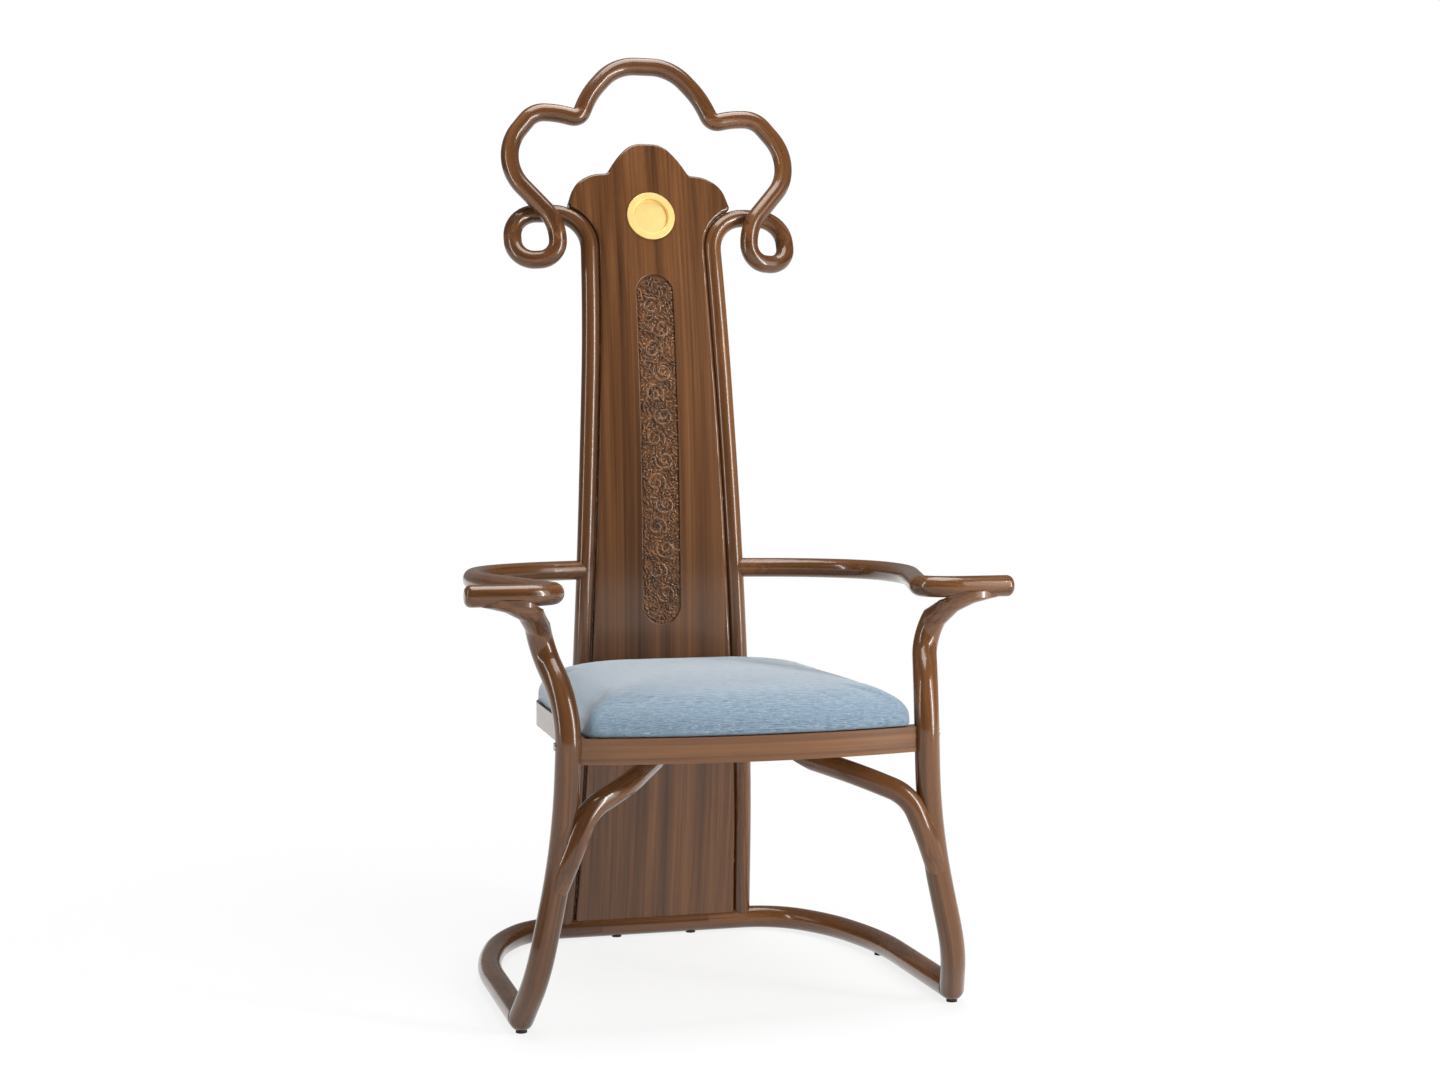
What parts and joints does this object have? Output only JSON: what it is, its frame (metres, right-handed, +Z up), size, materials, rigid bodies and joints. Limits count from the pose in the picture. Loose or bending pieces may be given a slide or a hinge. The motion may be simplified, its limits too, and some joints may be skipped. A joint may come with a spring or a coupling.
{
  "type": "lounge chair",
  "caption": "Tall-backed armchair of round bent-wood rods with a plank back, lobed cloud crest, curled shoulders, outward-sweeping arms and a low crowned seat cushion.",
  "frame": {"origin": "middle of the footprint box, on the floor under the chair", "axes": "+X to the right seen from the front, -Y the way the sitter faces, +Z up"},
  "size_m": [0.7992, 0.7028, 1.4505],
  "materials": {
    "walnut": "satin lacquer over walnut-brown hardwood, grain along each piece",
    "carving": "low carved scroll and leaf work, satin lacquer",
    "frame_wood": "planed, oiled",
    "board": "sanded plywood",
    "dowel_wood": "turned beech",
    "brass": "pale gold, satin",
    "steel": "zinc plated",
    "cushion_cloth": "grey-blue woven upholstery cloth",
    "glide": "matt"
  },
  "bodies": {
    "root": {"back_panel": "walnut", "crest_arch": "walnut", "floor_back_rail": "walnut", "front_rail": "walnut", "rear_rail": "walnut", "right_stile": "walnut", "left_stile": "walnut", "right_curl": "walnut", "left_curl": "walnut", "right_crest_lobe": "walnut", "left_crest_lobe": "walnut", "right_arm": "walnut", "left_arm": "walnut", "right_front_leg": "walnut", "left_front_leg": "walnut", "right_floor_rail": "walnut", "left_floor_rail": "walnut", "right_brace": "walnut", "left_brace": "walnut", "right_seat_side_rail": "walnut", "left_seat_side_rail": "walnut", "carved_relief": "carving", "cross_rail": "frame_wood", "right_front_corner_block": "frame_wood", "left_front_corner_block": "frame_wood", "right_rear_corner_block": "frame_wood", "left_rear_corner_block": "frame_wood", "seat_board": "board", "brass_disc": "brass", "disc_pin": "steel", "seat_cushion": "cushion_cloth", "arm_dowels": "dowel_wood", "leg_top_dowels": "dowel_wood", "crest_dowels": "dowel_wood", "panel_dowels": "dowel_wood", "panel_foot_dowels": "dowel_wood", "seat_frame_dowels": "dowel_wood", "floor_rail_dowels": "dowel_wood", "crossing_screws": "steel", "stile_bolts": "steel", "leg_bolts": "steel", "seat_board_screws": "steel", "brace_screws": "steel", "floor_glides": "glide"}
  },
  "joints": []
}
